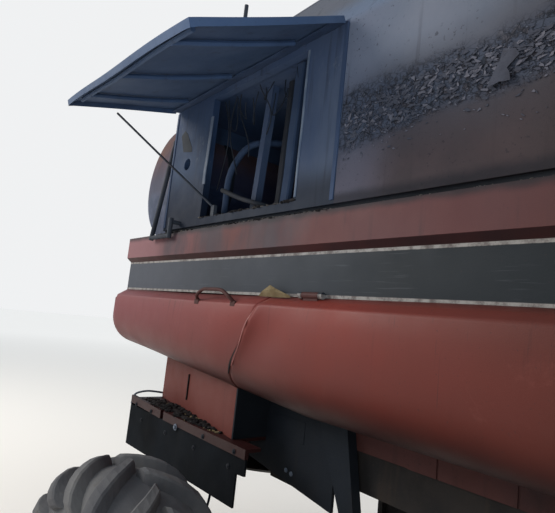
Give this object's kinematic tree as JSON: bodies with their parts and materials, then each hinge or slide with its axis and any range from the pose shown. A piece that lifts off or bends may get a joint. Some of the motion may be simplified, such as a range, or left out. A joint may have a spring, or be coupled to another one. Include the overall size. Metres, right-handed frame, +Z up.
{
  "type": "combine harvester",
  "caption": "Burnt-out rotary combine harvester without header: cab, grain tank, engine bay, folded unloading auger, feeder house, driven front and steered rear wheels.",
  "frame": {"origin": "on the ground under the middle of the machine's outer box", "axes": "+Z up, the machine faces -Y, its left side is +X"},
  "size_m": [3.8716, 7.2748, 3.5497],
  "materials": {
    "red_paint": "faded, chalky red sheet-metal paint with soot streaks",
    "dark_red_paint": "red paint darkened by smoke",
    "burnt_paint": "blistered and peeling burnt paint",
    "black_paint": "dull black paint",
    "soot_steel": "burnt steel covered with soot",
    "bare_steel": "worn bare steel",
    "rusty_iron": "rusted cast iron",
    "burnt_tank": "burnt tank paint, rusty on top",
    "black_rubber": "matte black rubber sheet",
    "tyre_rubber": "dusty tyre rubber",
    "rim_paint": "dusty pale wheel paint",
    "cab_glass": "smoke-tinted window glass",
    "cab_plastic": "dark cab trim",
    "lamp_plastic": "dull lamp lenses"
  },
  "bodies": {
    "root": {"chassis_frame": "soot_steel", "front_axle": "soot_steel", "separator_body": "dark_red_paint", "cleaning_shoe": "soot_steel", "deck": "soot_steel", "fascia_right": "red_paint", "fascia_left": "red_paint", "tail_hood": "red_paint", "discharge_chute": "dark_red_paint", "spreader_frame": "red_paint", "spreader_curtain": "black_rubber", "side_sheets": "black_paint", "grain_tank": "burnt_paint", "engine_bay": "soot_steel", "engine_roof": "soot_steel", "engine_block": "rusty_iron", "radiator": "soot_steel", "fuel_tank": "burnt_tank", "exhaust_stack": "rusty_iron", "handrails": "soot_steel", "cab_shell": "dark_red_paint", "cab_roof": "dark_red_paint", "cab_glass": "cab_glass", "cab_interior": "cab_plastic", "operator_platform": "soot_steel", "ladders": "soot_steel", "grain_elevator": "dark_red_paint", "side_drives": "bare_steel", "rear_axle": "soot_steel", "auger_base": "dark_red_paint", "lamps": "lamp_plastic", "mirrors": "black_paint"},
    "feeder": {"feeder_house": "dark_red_paint", "feeder_chain": "bare_steel"},
    "lift_barrel_left": {"lift_barrel_left": "soot_steel"},
    "lift_barrel_right": {"lift_barrel_right": "soot_steel"},
    "lift_rod_left": {"lift_rod_left": "bare_steel"},
    "lift_rod_right": {"lift_rod_right": "bare_steel"},
    "front_wheel_left": {"front_tyre_left": "tyre_rubber", "front_rim_left": "rim_paint"},
    "front_wheel_right": {"front_tyre_right": "tyre_rubber", "front_rim_right": "rim_paint"},
    "knuckle_left": {"knuckle_left": "soot_steel"},
    "knuckle_right": {"knuckle_right": "soot_steel"},
    "rear_wheel_left": {"rear_tyre_left": "tyre_rubber", "rear_rim_left": "rim_paint"},
    "rear_wheel_right": {"rear_tyre_right": "tyre_rubber", "rear_rim_right": "rim_paint"},
    "tie_rod": {"tie_rod": "bare_steel"},
    "cab_door": {"cab_door": "dark_red_paint", "cab_door_glass": "cab_glass"},
    "unloading_auger": {"unloading_auger": "dark_red_paint"},
    "shield_left": {"shield_left": "red_paint"},
    "shield_right": {"shield_right": "red_paint"},
    "service_door": {"service_door": "soot_steel"},
    "spreader_left": {"spreader_disc_left": "bare_steel"},
    "spreader_right": {"spreader_disc_right": "bare_steel"}
  },
  "joints": [
    {"name": "feeder_lift", "type": "hinge", "parent": "root", "child": "feeder", "pos_m": [0, -1.4275, 1.56], "axis": [-1, 0, 0], "range_deg": [-4, 16]},
    {"name": "front_left_spin", "type": "hinge", "parent": "root", "child": "front_wheel_left", "pos_m": [1.5, -1.4875, 0.91], "axis": [1, 0, 0], "continuous": true},
    {"name": "front_right_spin", "type": "hinge", "parent": "root", "child": "front_wheel_right", "pos_m": [-1.5, -1.4875, 0.91], "axis": [1, 0, 0], "continuous": true},
    {"name": "steer_left", "type": "hinge", "parent": "root", "child": "knuckle_left", "pos_m": [1.52, 2.0125, 0.65], "axis": [0, 0, 1], "range_deg": [-25, 25]},
    {"name": "steer_right", "type": "hinge", "parent": "root", "child": "knuckle_right", "pos_m": [-1.52, 2.0125, 0.65], "axis": [0, 0, 1], "range_deg": [-25, 25]},
    {"name": "rear_left_spin", "type": "hinge", "parent": "knuckle_left", "child": "rear_wheel_left", "pos_m": [1.72, 2.0125, 0.65], "axis": [1, 0, 0], "continuous": true},
    {"name": "rear_right_spin", "type": "hinge", "parent": "knuckle_right", "child": "rear_wheel_right", "pos_m": [-1.72, 2.0125, 0.65], "axis": [1, 0, 0], "continuous": true},
    {"name": "tie_rod_slide", "type": "slide", "parent": "root", "child": "tie_rod", "axis": [1, 0, 0], "range_m": [-0.115, 0.115]},
    {"name": "cab_door_hinge", "type": "hinge", "parent": "root", "child": "cab_door", "pos_m": [0.87, -1.2975, 2.6], "axis": [0, 0, 1], "range_deg": [0, 80]},
    {"name": "auger_swing", "type": "hinge", "parent": "root", "child": "unloading_auger", "pos_m": [1.45, -0.9275, 2.8], "axis": [0, 0, -1], "range_deg": [0, 100]},
    {"name": "shield_left_hinge", "type": "hinge", "parent": "root", "child": "shield_left", "pos_m": [1.264, 0.7125, 1.957], "axis": [0, -1, 0], "range_deg": [0, 75]},
    {"name": "shield_right_hinge", "type": "hinge", "parent": "root", "child": "shield_right", "pos_m": [-1.264, 0.7125, 1.957], "axis": [0, 1, 0], "range_deg": [0, 75]},
    {"name": "service_door_hinge", "type": "hinge", "parent": "root", "child": "service_door", "pos_m": [-1.268, 2.3225, 3.093], "axis": [0, 1, 0], "range_deg": [0, 20]},
    {"name": "spreader_left_spin", "type": "hinge", "parent": "root", "child": "spreader_left", "pos_m": [0.56, 2.6625, 1.085], "axis": [0, 0, 1], "continuous": true},
    {"name": "spreader_right_spin", "type": "hinge", "parent": "root", "child": "spreader_right", "pos_m": [-0.56, 2.6625, 1.085], "axis": [0, 0, 1], "continuous": true},
    {"name": "lift_left_tilt", "type": "hinge", "parent": "root", "child": "lift_barrel_left", "pos_m": [0.42, -1.6375, 0.56], "axis": [-1, 0, 0], "range_deg": [-5, 17]},
    {"name": "lift_left_stroke", "type": "slide", "parent": "lift_barrel_left", "child": "lift_rod_left", "axis": [0, -0.9917, 0.1289], "range_m": [-0.075, 0.29]},
    {"name": "lift_right_tilt", "type": "hinge", "parent": "root", "child": "lift_barrel_right", "pos_m": [-0.42, -1.6375, 0.56], "axis": [-1, 0, 0], "range_deg": [-5, 17]},
    {"name": "lift_right_stroke", "type": "slide", "parent": "lift_barrel_right", "child": "lift_rod_right", "axis": [0, -0.9917, 0.1289], "range_m": [-0.075, 0.29]}
  ],
  "couplings": [
    {"joint": "steer_right", "follows": "steer_left", "ratio": 1},
    {"joint": "tie_rod_slide", "follows": "steer_left", "m_per_rad": -0.242},
    {"joint": "lift_left_tilt", "follows": "feeder_lift", "ratio": 0.984},
    {"joint": "lift_left_stroke", "follows": "feeder_lift", "m_per_rad": 1.017},
    {"joint": "lift_right_tilt", "follows": "feeder_lift", "ratio": 0.984},
    {"joint": "lift_right_stroke", "follows": "feeder_lift", "m_per_rad": 1.017}
  ]
}
